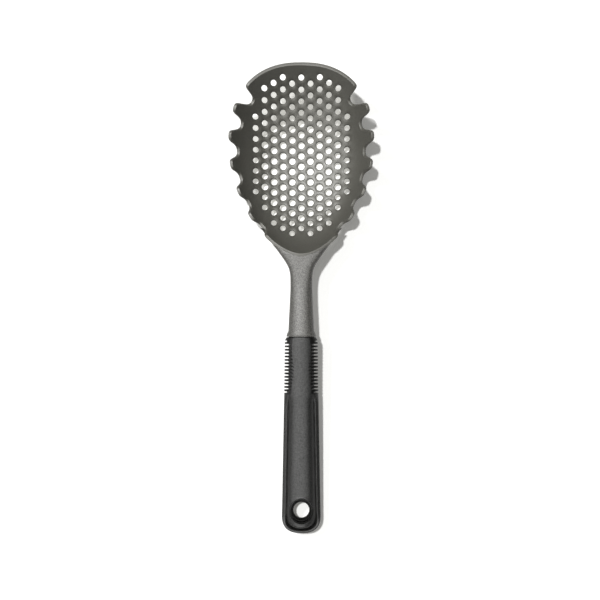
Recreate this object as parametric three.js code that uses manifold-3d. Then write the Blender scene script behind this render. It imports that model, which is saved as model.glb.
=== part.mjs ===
// Pasta scoop: a perforated nylon bowl with toothed sides on a flared neck, and a handle with a hard core
// under a soft grip. Millimetres, +Z up. The scoop lies on its back, on the bowl and the end of the grip,
// with +Y towards the front lip and the origin under the middle of its length.

import * as THREE from 'three';
import { mergeGeometries, mergeVertices } from 'three/addons/utils/BufferGeometryUtils.js';
import Module from 'manifold-3d';

const wasm = await Module();
wasm.setup();

// Whole scoop
const OVERALL_LENGTH = 352;
const CLEARANCE = 0.3; // between nested pieces

// Bowl from above: an oval whose widest station lies ahead of its middle
const BOWL_HALF_WIDTH = 52.5;
const BOWL_FRONT_REACH = 61.3;
const BOWL_REAR_REACH = 79.6;
const FRONT_SQUARENESS = 2.33;
const REAR_SQUARENESS = 1.73;

// Bowl in section: two sweeps along its length, a slow cross curve, and walls that steepen to the rim
const WALL = 2.2;
const LOW_POINT_SETBACK = 12.2; // behind the widest station
const FRONT_SWEEP_RADIUS = 93;
const REAR_SWEEP_RADIUS = 122;
const CROSS_RADIUS = 223;
const SIDE_RISE = 21.6; // what the steepening adds at the half width
const SIDE_RISE_REACH = 115; // where it would add as much along the length
const REAR_CURL = 7; // what the rear wall's last upturn adds at the rim
const REAR_CURL_RUN = 45; // behind the widest station, where the upturn is whole
const REAR_CURL_POWER = 12;

// Teeth: rounded notches cut into both sides of the rim at an even pitch
const NOTCH_COUNT = 6;
const FIRST_NOTCH = 52.8; // along the rim from the middle of the front lip
const TOOTH_PITCH = 20.55;
const NOTCH_WIDTH = 15.1;
const FRONT_NOTCH_DEPTH = 9.1; // from above
const REAR_NOTCH_DEPTH = 2.9;
const NOTCH_TAPER = 1.4; // how fast the depth falls from the front notch to the rear one
const NOTCH_SQUARENESS = 3.25;

// Drain holes: an even triangular lattice inside an oval field, larger in its middle
const HOLE_PITCH = 8;
const SMALL_HOLE = 4.2;
const LARGE_HOLE = 5;
const FIELD_SIDE_BORDER = 14.4;
const FIELD_FRONT_BORDER = 6.4;
const FIELD_REAR_BORDER = 14.5;
const FIELD_FRONT_SQUARENESS = 3;
const FIELD_REAR_SQUARENESS = 2.2;
const LARGE_FIELD_HALF_LENGTH = 38;
const LARGE_FIELD_SETBACK = 9.6; // behind the middle of the whole field
const LARGE_COLUMNS = 3; // either side of the middle; in the next column every other hole is large
const HOLE_SIDES = 8;
const CELL_MARGIN = 1.3; // least plain rim outside a whole lattice cell
const CREASE_INSET = 3.4; // a second line inside the rim's plain stretches, which keeps the curve

// Neck: its outer edges flare from a slim waist to the rim, and to a collar at the grip
const NECK_DROP = 1; // top of the neck below the rear rim
const NECK_RISE = 5.6; // edge line to top, at the waist
const NECK_FALL = 6.2; // edge line to underside, at the waist
const WAIST_HALF_WIDTH = 8.2;
const WAIST_FROM_REAR_RIM = 20;
const ROOT_HALF_WIDTH = 15.3; // at the rear rim
const WING_HALF_WIDTH = 29.5; // where the flare runs out along the rim
const WING_FROM_REAR_RIM = 19;
const WING_EDGE_DROP = 2; // edge line there below that at the rear rim
const NECK_END_HALF_WIDTH = 9.7;
const NECK_END_HALF_HEIGHT = 7.9;
const COLLAR_HALF_WIDTH = 11.1;
const COLLAR_HALF_HEIGHT = 8.9;
const COLLAR_LENGTH = 3;
const NECK_SQUARENESS = 2.3;

// Tang inside the core, with windows for the core's posts
const TANG_WIDTH = 11;
const TANG_THICKNESS = 4.6;
const TANG_LENGTH = 112;
const WINDOW_COUNT = 3;
const WINDOW_LENGTH = 9;
const WINDOW_WIDTH = 5;
const WINDOW_PITCH = 30;

// Core and hanging eye
const CORE_HALF_WIDTH = 8;
const CORE_HALF_HEIGHT = 5.6;
const CORE_SQUARENESS = 3;
const EYE_FROM_END = 17.3;
const EYE_HOLE = 12;
const EYE_RING = 15.2;
const EYE_HALF_HEIGHT = 6.8;
const EYE_CHAMFER = 0.7; // round the hole's two mouths

// Soft grip
const GRIP_LENGTH = 147.7;
const GRIP_TOP_HALF_WIDTH = 11.3;
const GRIP_FIN_HALF_WIDTH = 12.9;
const GRIP_END_HALF_WIDTH = 14.7;
const GRIP_TOP_HALF_HEIGHT = 9.1;
const GRIP_END_HALF_HEIGHT = 10.3;
const GRIP_SHOULDER = 4.2; // length of the flare behind the collar
const GRIP_CORNER_RADIUS = 10.2;
const GRIP_SQUARENESS = 2.6;
const END_ROUNDING = 0.6; // how much of the corner radius the end's height has
const DISH_MOUTH = 19.2; // where the dish round the hanging eye opens onto the grip's face
const DISH_OVERRUN = 2; // how far the dish's cutter passes that face
const REST_FLAT_DEPTH = 0.9; // shaved off where the grip's end rests

// Fins on both sides of the grip
const SLOT_COUNT = 16;
const SLOT_PITCH = 2.54;
const SLOT_WIDTH = 1.5;
const FIRST_SLOT = 3.2; // behind the collar
const FIN_DEPTH = 3;
const FIN_ROOT_HALF_HEIGHT = 13.4;

// Fineness of the facets, and of the cutters
const CAVITY_DEPTH = 0.4 * WALL; // how far the bowl's room is taken into its wall where the neck meets it
const CAVITY_RINGS = [0.35, 0.6, 0.75, 0.85, 0.91, 0.95, 0.98, 1];
const CAVITY_STEPS = 60;
const OVAL_STEPS = 600;
const LIP_STEP = 6.5; // between rim points on the plain stretches
const STEPS_PER_TOOTH = 8;
const NECK_SIDES = 28;
const FLARE_STEPS = 10;
const CORE_SIDES = 20;
const EYE_SIDES = 32;
const GRIP_SIDES = 36;
const END_STEPS = 5;
const FAR = 40; // how far a cutter reaches past what it cuts

// Turns an indexed geometry into a solid that can be joined and cut
function solidOf(geometry) {
  const bare = geometry.clone();
  bare.deleteAttribute('normal');
  bare.deleteAttribute('uv');
  const merged = mergeVertices(bare, 1e-4);
  return new wasm.Manifold(new wasm.Mesh({
    numProp: 3,
    vertProperties: new Float32Array(merged.attributes.position.array),
    triVerts: new Uint32Array(merged.index.array),
  }));
}

function geometryOf(solid) {
  const mesh = solid.getMesh();
  const geometry = new THREE.BufferGeometry();
  geometry.setAttribute('position', new THREE.BufferAttribute(new Float32Array(mesh.vertProperties), 3));
  geometry.setIndex(new THREE.BufferAttribute(new Uint32Array(mesh.triVerts), 1));
  return geometry;
}

function meshFrom(positions, triangles) {
  const geometry = new THREE.BufferGeometry();
  geometry.setAttribute('position', new THREE.Float32BufferAttribute(positions.flat(), 3));
  geometry.setIndex(triangles.flat());
  return geometry;
}

// The rim's oval at angle t, 0 at the front lip and pi at the rear, as [x, v]; v runs forward from the
// widest station
function ovalPoint(t) {
  const forward = Math.cos(t);
  const power = 2 / (forward > 0 ? FRONT_SQUARENESS : REAR_SQUARENESS);
  const reach = forward > 0 ? BOWL_FRONT_REACH : -BOWL_REAR_REACH;
  return [BOWL_HALF_WIDTH * Math.abs(Math.sin(t)) ** power, reach * Math.abs(forward) ** power];
}

// How far out a point lies, 1 on an oval with the given half width, reaches and squarenesses
function ovalReach(x, v, halfWidth, front, rear, frontPower, rearPower) {
  const power = v > 0 ? frontPower : rearPower;
  const reach = v > 0 ? front : rear;
  return ((Math.abs(x) / halfWidth) ** power + (Math.abs(v) / reach) ** power) ** (1 / power);
}

// Height of the bowl's inner face over its lowest point
function bowlRise(x, v) {
  const along = v + LOW_POINT_SETBACK;
  const sweep = along > 0 ? FRONT_SWEEP_RADIUS : REAR_SWEEP_RADIUS;
  const steep = (x / BOWL_HALF_WIDTH) ** 2 + (along / SIDE_RISE_REACH) ** 2;
  const out = ovalReach(x, v, BOWL_HALF_WIDTH, BOWL_FRONT_REACH, BOWL_REAR_REACH,
    FRONT_SQUARENESS, REAR_SQUARENESS);
  const curl = REAR_CURL * THREE.MathUtils.smoothstep(-v, 0, REAR_CURL_RUN) * out ** REAR_CURL_POWER;
  return along ** 2 / (2 * sweep) + x ** 2 / (2 * CROSS_RADIUS) + SIDE_RISE * steep ** 2 + curl;
}

function bowlSlope(x, v) {
  const step = 0.01;
  return [
    (bowlRise(x + step, v) - bowlRise(x - step, v)) / (2 * step),
    (bowlRise(x, v + step) - bowlRise(x, v - step)) / (2 * step),
  ];
}

// Points at a depth under the bowl's inner face: square to the face at the rim, straight down elsewhere
function underFaceSquare(x, v, depth) {
  const [slopeX, slopeV] = bowlSlope(x, v);
  const length = Math.hypot(slopeX, slopeV, 1);
  return [x + depth * slopeX / length, v + depth * slopeV / length, WALL + bowlRise(x, v) - depth / length];
}

function underFaceDown(x, v, depth) {
  return [x, v, WALL + bowlRise(x, v) - depth * Math.hypot(...bowlSlope(x, v), 1)];
}

// Where the bowl lies: its front lip's outer edge ends the scoop's length
const lipLean = underFaceSquare(0, BOWL_FRONT_REACH, WALL)[1] - BOWL_FRONT_REACH;
const widestY = OVERALL_LENGTH / 2 - BOWL_FRONT_REACH - lipLean;
const rearRimY = widestY - BOWL_REAR_REACH;
const rearRimZ = WALL + bowlRise(0, -BOWL_REAR_REACH);

// Half of the rim from the front lip to the rear, notched, as [x, v] points that know whether they are on a
// plain stretch
function halfRim() {
  const dense = [];
  for (let i = 0; i <= OVAL_STEPS; i += 1) {
    dense.push(ovalPoint(Math.PI * i / OVAL_STEPS));
  }
  const lengths = [0];
  for (let i = 1; i <= OVAL_STEPS; i += 1) {
    lengths.push(lengths[i - 1] + Math.hypot(dense[i][0] - dense[i - 1][0], dense[i][1] - dense[i - 1][1]));
  }
  const total = lengths[OVAL_STEPS];
  const pointAt = (distance) => {
    const i = Math.max(1, lengths.findIndex((length) => length >= distance - 1e-9));
    const share = (distance - lengths[i - 1]) / (lengths[i] - lengths[i - 1]);
    return [0, 1].map((axis) => THREE.MathUtils.lerp(dense[i - 1][axis], dense[i][axis], share));
  };
  const insetAt = (distance) => {
    let inset = 0;
    for (let i = 0; i < NOTCH_COUNT; i += 1) {
      const off = Math.abs(distance - FIRST_NOTCH - i * TOOTH_PITCH) / (NOTCH_WIDTH / 2);
      const fade = (1 - i / Math.max(1, NOTCH_COUNT - 1)) ** NOTCH_TAPER;
      const depth = THREE.MathUtils.lerp(REAR_NOTCH_DEPTH, FRONT_NOTCH_DEPTH, fade);
      inset += off < 1 ? depth * (1 - off ** NOTCH_SQUARENESS) ** 2 : 0;
    }
    return inset;
  };
  const toothedFrom = FIRST_NOTCH - TOOTH_PITCH / 2;
  const toothedTo = FIRST_NOTCH + (NOTCH_COUNT - 0.5) * TOOTH_PITCH;
  const stretch = (from, to, count) => (
    Array.from({ length: count }, (_, i) => from + (to - from) * i / count));
  const distances = [
    ...stretch(0, toothedFrom, Math.ceil(toothedFrom / LIP_STEP)),
    ...stretch(toothedFrom, toothedTo, NOTCH_COUNT * STEPS_PER_TOOTH),
    ...stretch(toothedTo, total, Math.ceil((total - toothedTo) / LIP_STEP)),
    total,
  ];
  return distances.map((distance) => {
    const [x, v] = pointAt(distance);
    const ahead = pointAt(Math.min(distance + 0.2, total));
    const behind = pointAt(Math.max(distance - 0.2, 0));
    const run = Math.hypot(ahead[0] - behind[0], ahead[1] - behind[1]);
    const inset = insetAt(distance);
    const plain = distance < toothedFrom || distance > toothedTo;
    return [x + inset * (ahead[1] - behind[1]) / run, v - inset * (ahead[0] - behind[0]) / run, plain];
  });
}

// How far a plan point lies inside an outline, less than 0 outside it
function depthInside(outline, [x, v]) {
  let inside = false;
  let nearest = Infinity;
  outline.forEach(([ax, av], i) => {
    const [bx, bv] = outline[(i + 1) % outline.length];
    const share = ((x - ax) * (bx - ax) + (v - av) * (bv - av)) / ((bx - ax) ** 2 + (bv - av) ** 2);
    const near = THREE.MathUtils.clamp(share, 0, 1);
    nearest = Math.min(nearest, Math.hypot(ax + near * (bx - ax) - x, av + near * (bv - av) - v));
    if ((av > v) !== (bv > v) && x < ax + (v - av) * (bx - ax) / (bv - av)) {
      inside = !inside;
    }
  });
  return inside ? nearest : -nearest;
}

// Swaps shared edges of flat triangles until none is needlessly long
function evenOut(triangles, at) {
  const even = [...triangles];
  const opening = (tip, a, b) => Math.abs(at(a).sub(at(tip)).angleTo(at(b).sub(at(tip))));
  for (let swapped = true; swapped;) {
    swapped = false;
    const owner = new Map();
    even.forEach((corners, i) => corners.forEach((a, k) => {
      const b = corners[(k + 1) % 3];
      owner.set(`${a},${b}`, { i, a, b, tip: corners[(k + 2) % 3] });
    }));
    const touched = new Set();
    for (const { i, a, b, tip } of owner.values()) {
      const other = owner.get(`${b},${a}`);
      if (!other || touched.has(i) || touched.has(other.i)) {
        continue;
      }
      if (opening(tip, a, b) + opening(other.tip, a, b) > Math.PI + 1e-4) {
        even[i] = [tip, a, other.tip];
        even[other.i] = [other.tip, b, tip];
        touched.add(i).add(other.i);
        swapped = true;
      }
    }
  }
  return even;
}

// The bowl: a plan of hexagonal cells, most with a drain hole, filled out to the rim and given its wall
function bowlShell() {
  const right = halfRim();
  const left = right.slice(1, -1).map(([x, v, plain]) => [-x, v, plain]);
  const rim = [...left, right.at(-1), ...right.slice(1, -1).reverse(), right[0]];
  const plan = rim.map(([x, v]) => ({ x, v, onRim: true }));
  const faces = [];
  const cornerIndex = new Map();
  const column = HOLE_PITCH * Math.sqrt(3) / 2;
  const corner = HOLE_PITCH / Math.sqrt(3);
  const fieldHalfWidth = BOWL_HALF_WIDTH - FIELD_SIDE_BORDER;
  const fieldFront = BOWL_FRONT_REACH - FIELD_FRONT_BORDER;
  const fieldHalfLength = (fieldFront + BOWL_REAR_REACH - FIELD_REAR_BORDER) / 2;
  const fieldMiddle = fieldFront - fieldHalfLength;

  const addPoint = (x, v) => plan.push({ x, v, onRim: false }) - 1;
  const addCorner = ([x, v]) => {
    const key = `${Math.round(x * 100)},${Math.round(v * 100)}`;
    if (!cornerIndex.has(key)) {
      cornerIndex.set(key, addPoint(x, v));
    }
    return cornerIndex.get(key);
  };
  const holeAt = (x, v, c, row) => {
    const off = v - fieldMiddle;
    const field = ovalReach(x, off, fieldHalfWidth, fieldHalfLength, fieldHalfLength,
      FIELD_FRONT_SQUARENESS, FIELD_REAR_SQUARENESS);
    if (field > 1) {
      return 0;
    }
    const large = Math.hypot(x / fieldHalfWidth, (off + LARGE_FIELD_SETBACK) / LARGE_FIELD_HALF_LENGTH) < 1;
    const edgeColumn = Math.abs(c) === LARGE_COLUMNS + 1 && Math.abs(row) % 2 === 1;
    return large && (Math.abs(c) <= LARGE_COLUMNS || edgeColumn) ? LARGE_HOLE : SMALL_HOLE;
  };

  const columns = Math.ceil(BOWL_HALF_WIDTH / column);
  const rows = Math.ceil((BOWL_FRONT_REACH + BOWL_REAR_REACH) / HOLE_PITCH);
  for (let c = -columns; c <= columns; c += 1) {
    for (let row = -rows; row <= rows; row += 1) {
      const x = c * column;
      const v = fieldMiddle + HOLE_PITCH * (row + (c % 2 === 0 ? 0.25 : -0.25));
      const corners = Array.from({ length: 6 }, (_, i) => {
        const turn = i * Math.PI / 3;
        return [x + corner * Math.cos(turn), v + corner * Math.sin(turn)];
      });
      if (!corners.every((point) => depthInside(rim, point) > CELL_MARGIN)) {
        continue;
      }
      const outer = corners.map(addCorner);
      const hole = holeAt(x, v, c, row);
      if (hole === 0) {
        const middle = addPoint(x, v);
        outer.forEach((index, i) => faces.push([index, outer[(i + 1) % 6], middle]));
        continue;
      }
      const inner = Array.from({ length: HOLE_SIDES }, (_, i) => {
        const turn = (i + 0.5) * 2 * Math.PI / HOLE_SIDES;
        return addPoint(x + hole / 2 * Math.cos(turn), v + hole / 2 * Math.sin(turn));
      });
      for (let i = 0, j = 0; i < 6 || j < HOLE_SIDES;) {
        const a = outer[i % 6];
        const b = inner[j % HOLE_SIDES];
        if (j >= HOLE_SIDES || (i < 6 && (i + 1) / 6 <= (j + 1.5) / HOLE_SIDES)) {
          faces.push([a, outer[(i + 1) % 6], b]);
          i += 1;
        } else {
          faces.push([inner[(j + 1) % HOLE_SIDES], b, a]);
          j += 1;
        }
      }
    }
  }

  // The band between the cells' ragged edges and the rim
  const freeEdges = (triangles) => {
    const edges = new Map();
    triangles.forEach((corners) => corners.forEach((p, k) => {
      const q = corners[(k + 1) % 3];
      edges.set(`${p},${q}`, [p, q]);
    }));
    return [...edges.values()].filter(([p, q]) => !edges.has(`${q},${p}`));
  };
  const cellCorners = new Set(cornerIndex.values());
  const next = new Map(freeEdges(faces).filter(([p]) => cellCorners.has(p)));
  const loops = [];
  while (next.size > 0) {
    const loop = [next.keys().next().value];
    while (next.get(loop.at(-1)) !== loop[0]) {
      loop.push(next.get(loop.at(-1)));
    }
    loop.forEach((index) => next.delete(index));
    loops.push(loop);
  }
  const loopOutlines = loops.map((loop) => loop.map((index) => [plan[index].x, plan[index].v]));
  const crease = rim
    .filter(([,, plain]) => plain)
    .map(([x, v]) => [x, v].map((value) => value * (1 - CREASE_INSET / Math.hypot(x, v))))
    .filter((point) => loopOutlines.every((outline) => depthInside(outline, point) < -CELL_MARGIN))
    .map(([x, v]) => addPoint(x, v));
  const at = (index) => new THREE.Vector2(plan[index].x, plan[index].v);
  const band = [...rim.keys(), ...loops.flat(), ...crease];
  const inner = [...loops, ...crease.map((index) => [index])].map((indices) => indices.map(at));
  const filling = THREE.ShapeUtils.triangulateShape([...rim.keys()].map(at), inner)
    .map((triangle) => triangle.map((i) => band[i]));
  const area = ([a, b, c]) => at(b).sub(at(a)).cross(at(c).sub(at(a)));
  const facesUp = filling.reduce((sum, triangle) => sum + area(triangle), 0) > 0;
  faces.push(...evenOut(facesUp ? filling : filling.map(([a, b, c]) => [a, c, b]), at));

  const top = plan.map(({ x, v }) => [x, v, WALL + bowlRise(x, v)]);
  const bottom = plan.map(({ x, v, onRim }) => (onRim ? underFaceSquare : underFaceDown)(x, v, WALL));
  const count = plan.length;
  const under = faces.map(([a, b, c]) => [a + count, c + count, b + count]);
  const edgeWalls = freeEdges(faces).flatMap(([p, q]) => [[q, p, p + count], [q, p + count, q + count]]);
  return solidOf(meshFrom([...top, ...bottom], [...faces, ...under, ...edgeWalls]).translate(0, widestY, 0));
}

// The room above the bowl's wall, which the neck keeps out of
function bowlCavity() {
  const points = [underFaceDown(0, 0, CAVITY_DEPTH)];
  const triangles = [];
  const index = (ring, step) => 1 + ring * CAVITY_STEPS + step % CAVITY_STEPS;
  CAVITY_RINGS.forEach((share, ring) => {
    for (let step = 0; step < CAVITY_STEPS; step += 1) {
      const turn = 2 * Math.PI * step / CAVITY_STEPS;
      const [x, v] = ovalPoint(turn);
      const side = Math.sign(Math.sin(turn));
      const under = share === 1 ? underFaceSquare : underFaceDown;
      points.push(under(side * x * share, v * share, CAVITY_DEPTH));
      triangles.push(ring === 0
        ? [0, index(0, step), index(0, step + 1)]
        : [index(ring - 1, step), index(ring, step), index(ring, step + 1)]);
      if (ring > 0) {
        triangles.push([index(ring - 1, step), index(ring, step + 1), index(ring - 1, step + 1)]);
      }
    }
  });
  const last = CAVITY_RINGS.length - 1;
  const lid = points.slice(index(last, 0)).map(([x, v]) => [x, v, rearRimZ + FAR]);
  const lidStart = points.length;
  for (let step = 0; step < CAVITY_STEPS; step += 1) {
    const after = (step + 1) % CAVITY_STEPS;
    triangles.push([index(last, step), lidStart + step, lidStart + after]);
    triangles.push([index(last, step), lidStart + after, index(last, after)]);
    triangles.push([lidStart + after, lidStart + step, lidStart + CAVITY_STEPS]);
  }
  return solidOf(meshFrom([...points, ...lid, [0, 0, rearRimZ + FAR]], triangles).translate(0, widestY, 0));
}

// A rounded section across the handle, as [x, z] points round its edge line
function section(halfWidth, rise, fall, squareness, sides) {
  return Array.from({ length: sides }, (_, i) => {
    const turn = 2 * Math.PI * i / sides;
    const across = Math.sign(Math.cos(turn)) * Math.abs(Math.cos(turn)) ** (2 / squareness);
    const up = Math.sign(Math.sin(turn)) * Math.abs(Math.sin(turn)) ** (2 / squareness);
    return [halfWidth * across, up * (up > 0 ? rise : fall)];
  });
}

// A closed body through sections at falling y, each with its edge line at height z
function loft(stations) {
  const sides = stations[0].ring.length;
  const points = stations.flatMap(({ y, z, ring }) => ring.map(([x, up]) => [x, y, z + up]));
  const triangles = [];
  for (let s = 0; s + 1 < stations.length; s += 1) {
    for (let i = 0; i < sides; i += 1) {
      const a = s * sides + i;
      const b = s * sides + (i + 1) % sides;
      triangles.push([a, b, b + sides], [a, b + sides, a + sides]);
    }
  }
  const caps = [stations[0], stations.at(-1)].map(({ y, z }) => points.push([0, y, z]) - 1);
  const lastRing = (stations.length - 1) * sides;
  for (let i = 0; i < sides; i += 1) {
    const after = (i + 1) % sides;
    triangles.push([caps[0], after, i], [caps[1], lastRing + i, lastRing + after]);
  }
  return solidOf(meshFrom(points, triangles));
}

// The handle's line falls evenly from the neck's root to where the end of the grip rests
const gripEndY = -OVERALL_LENGTH / 2;
const gripTopY = gripEndY + GRIP_LENGTH;
const collarY = gripTopY + CLEARANCE;
const restY = gripEndY + GRIP_CORNER_RADIUS;
const rootZ = rearRimZ - NECK_DROP - NECK_RISE;
const restZ = GRIP_END_HALF_HEIGHT - REST_FLAT_DEPTH;
const lineZ = (y) => restZ + (rootZ - restZ) * (y - restY) / (rearRimY - restY);

function neck() {
  const waistY = rearRimY - WAIST_FROM_REAR_RIM;
  const wingY = rearRimY + WING_FROM_REAR_RIM;
  const station = (y, halfWidth, rise, fall, z = lineZ(y)) => (
    { y, z, ring: section(halfWidth, rise, fall, NECK_SQUARENESS, NECK_SIDES) });
  // The outer edge is one smooth curve through the wing, the root and the waist
  const flare = new THREE.CatmullRomCurve3([
    new THREE.Vector3(WING_HALF_WIDTH, wingY, rootZ - WING_EDGE_DROP),
    new THREE.Vector3(ROOT_HALF_WIDTH, rearRimY, rootZ),
    new THREE.Vector3(WAIST_HALF_WIDTH, waistY, lineZ(waistY)),
  ]);
  const flared = Array.from({ length: FLARE_STEPS + 1 }, (_, i) => {
    const { x, y, z } = flare.getPoint(i / FLARE_STEPS);
    const fall = Math.min(1, Math.max(0, (y - rearRimY) / WING_FROM_REAR_RIM));
    return station(y, x, NECK_RISE, NECK_FALL * (1 - fall) + WALL * fall, z);
  });
  const endY = collarY + COLLAR_LENGTH;
  return loft([
    ...flared,
    station(endY, NECK_END_HALF_WIDTH, NECK_END_HALF_HEIGHT, NECK_END_HALF_HEIGHT),
    station(collarY + COLLAR_LENGTH / 3, COLLAR_HALF_WIDTH, COLLAR_HALF_HEIGHT, COLLAR_HALF_HEIGHT),
    station(collarY, COLLAR_HALF_WIDTH, COLLAR_HALF_HEIGHT, COLLAR_HALF_HEIGHT),
  ]);
}

// A bar of one section along the handle's line, from one station back to another
function bar(fromY, toY, ring) {
  return loft([fromY, toY].map((y) => ({ y, z: lineZ(y), ring })));
}

function block(width, length, height, x, y, z) {
  return solidOf(new THREE.BoxGeometry(width, length, height).translate(x, y, z));
}

function disc(radius, height, y, z, topRadius = radius) {
  const geometry = new THREE.CylinderGeometry(topRadius, radius, height, EYE_SIDES);
  return solidOf(geometry.rotateX(Math.PI / 2).translate(0, y, z));
}

// The tang with its windows; grown by a clearance it is also the socket that the core leaves for it
function tang(grow) {
  const halfWidth = TANG_WIDTH / 2 + grow;
  const halfHeight = TANG_THICKNESS / 2 + grow;
  const ring = [[1, 1], [-1, 1], [-1, -1], [1, -1]].map(([x, z]) => [x * halfWidth, z * halfHeight]);
  let body = bar(collarY + COLLAR_LENGTH / 2, collarY - TANG_LENGTH - grow, ring);
  for (let i = 0; i < WINDOW_COUNT; i += 1) {
    const y = collarY - TANG_LENGTH / 2 + (i - (WINDOW_COUNT - 1) / 2) * WINDOW_PITCH;
    body = body.subtract(block(WINDOW_WIDTH - 2 * grow, WINDOW_LENGTH - 2 * grow, FAR, 0, y, lineZ(y)));
  }
  return body;
}

const eyeY = gripEndY + EYE_FROM_END;
const eyeZ = lineZ(eyeY);

function scoopHead() {
  return bowlShell().add(neck().subtract(bowlCavity())).add(tang(0));
}

// The core's outside; grown by a clearance it is also the room that the grip leaves for it
function coreBody(grow) {
  const ring = section(CORE_HALF_WIDTH + grow, CORE_HALF_HEIGHT + grow, CORE_HALF_HEIGHT + grow,
    CORE_SQUARENESS, CORE_SIDES);
  const rod = bar(gripTopY + grow, eyeY, ring);
  return rod.add(disc(EYE_RING / 2 + grow, 2 * (EYE_HALF_HEIGHT + grow), eyeY, eyeZ));
}

// Half width and half height of the grip's section, with the end rounded off by a corner radius
function gripStation(y, halfWidth, halfHeight) {
  const past = Math.max(0, restY - y);
  const pulledIn = GRIP_CORNER_RADIUS - Math.sqrt(Math.max(0, GRIP_CORNER_RADIUS ** 2 - past ** 2));
  const height = halfHeight - END_ROUNDING * pulledIn;
  const ring = section(halfWidth - pulledIn, height, height, GRIP_SQUARENESS, GRIP_SIDES);
  return { y, z: lineZ(Math.max(y, restY)), ring };
}

function gripBody() {
  const shoulderY = gripTopY - GRIP_SHOULDER;
  const finsEndY = gripTopY - FIRST_SLOT - SLOT_COUNT * SLOT_PITCH;
  const heightAt = (y) => (
    THREE.MathUtils.mapLinear(y, gripTopY, restY, GRIP_TOP_HALF_HEIGHT, GRIP_END_HALF_HEIGHT));
  const stations = [
    gripStation(gripTopY, GRIP_TOP_HALF_WIDTH, GRIP_TOP_HALF_HEIGHT),
    gripStation(shoulderY, (GRIP_TOP_HALF_WIDTH + 2 * GRIP_FIN_HALF_WIDTH) / 3, heightAt(shoulderY)),
    gripStation(finsEndY, GRIP_FIN_HALF_WIDTH, heightAt(finsEndY)),
    gripStation(restY, GRIP_END_HALF_WIDTH, GRIP_END_HALF_HEIGHT),
  ];
  for (let i = 1; i <= END_STEPS; i += 1) {
    const past = GRIP_CORNER_RADIUS * Math.sin(Math.PI / 2 * i / END_STEPS);
    stations.push(gripStation(restY - past, GRIP_END_HALF_WIDTH, GRIP_END_HALF_HEIGHT));
  }
  return loft(stations);
}

// Slots through both sides of the grip, whose floor is an upright oval round the core
function finSlots() {
  const rootHalfWidth = GRIP_FIN_HALF_WIDTH - FIN_DEPTH;
  const reach = GRIP_END_HALF_HEIGHT + 1;
  const floor = Array.from({ length: 9 }, (_, i) => {
    const up = reach * (1 - i / 4);
    return new THREE.Vector2(rootHalfWidth * Math.sqrt(1 - (up / FIN_ROOT_HALF_HEIGHT) ** 2), up);
  });
  const outside = GRIP_END_HALF_WIDTH + FAR;
  const shape = new THREE.Shape([
    ...floor,
    new THREE.Vector2(outside, -reach),
    new THREE.Vector2(outside, reach),
  ]);
  const slots = [];
  for (let i = 0; i < SLOT_COUNT; i += 1) {
    const y = gripTopY - FIRST_SLOT - i * SLOT_PITCH;
    for (const turn of [0, Math.PI]) {
      const slot = new THREE.ExtrudeGeometry(shape, { depth: SLOT_WIDTH, bevelEnabled: false });
      slot.translate(0, 0, -SLOT_WIDTH / 2).rotateX(Math.PI / 2).rotateZ(turn);
      slots.push(slot.translate(0, y, lineZ(y)));
    }
  }
  return solidOf(mergeGeometries(slots));
}

// A cone that flares away from the hanging eye's middle, from a height and radius, on the given side
function eyeCone(side, height, radius, rise, endRadius) {
  const [under, over] = side > 0 ? [radius, endRadius] : [endRadius, radius];
  return disc(under, rise, eyeY, eyeZ + side * (height + rise / 2), over);
}

function handleCore() {
  let core = coreBody(0).subtract(tang(CLEARANCE)).subtract(disc(EYE_HOLE / 2, FAR, eyeY, eyeZ));
  for (const side of [1, -1]) {
    const height = EYE_HALF_HEIGHT - EYE_CHAMFER;
    const widest = EYE_HOLE / 2 + 2 * EYE_CHAMFER;
    core = core.subtract(eyeCone(side, height, EYE_HOLE / 2, 2 * EYE_CHAMFER, widest));
  }
  return core;
}

function softGrip() {
  const throat = EYE_RING / 2 + CLEARANCE;
  const depth = GRIP_END_HALF_HEIGHT - EYE_HALF_HEIGHT;
  const rise = depth + DISH_OVERRUN;
  const mouth = throat + (DISH_MOUTH / 2 - throat) * rise / depth;
  const underRest = block(OVERALL_LENGTH, OVERALL_LENGTH, FAR, 0, gripEndY, -FAR / 2);
  return gripBody()
    .subtract(coreBody(CLEARANCE))
    .subtract(eyeCone(1, EYE_HALF_HEIGHT, throat, rise, mouth))
    .subtract(eyeCone(-1, EYE_HALF_HEIGHT, throat, rise, mouth))
    .subtract(finSlots())
    .subtract(underRest);
}

// Dark grey nylon, hard black polypropylene, matt black thermoplastic rubber
const nylon = new THREE.MeshStandardMaterial({ color: 0x5e5d59, roughness: 0.5, metalness: 0 });
const hardPlastic = new THREE.MeshStandardMaterial({ color: 0x232322, roughness: 0.45, metalness: 0 });
const softRubber = new THREE.MeshStandardMaterial({ color: 0x2b2b2a, roughness: 0.75, metalness: 0 });

const group = new THREE.Group();
const pieces = [
  ['scoop_head', scoopHead(), nylon],
  ['handle_core', handleCore(), hardPlastic],
  ['soft_grip', softGrip(), softRubber],
];
for (const [name, solid, material] of pieces) {
  const mesh = new THREE.Mesh(geometryOf(solid), material);
  mesh.name = name;
  group.add(mesh);
}

export default group;
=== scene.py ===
import bmesh
import bpy
import numpy as np
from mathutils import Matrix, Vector
from mathutils.geometry import delaunay_2d_cdt


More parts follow.
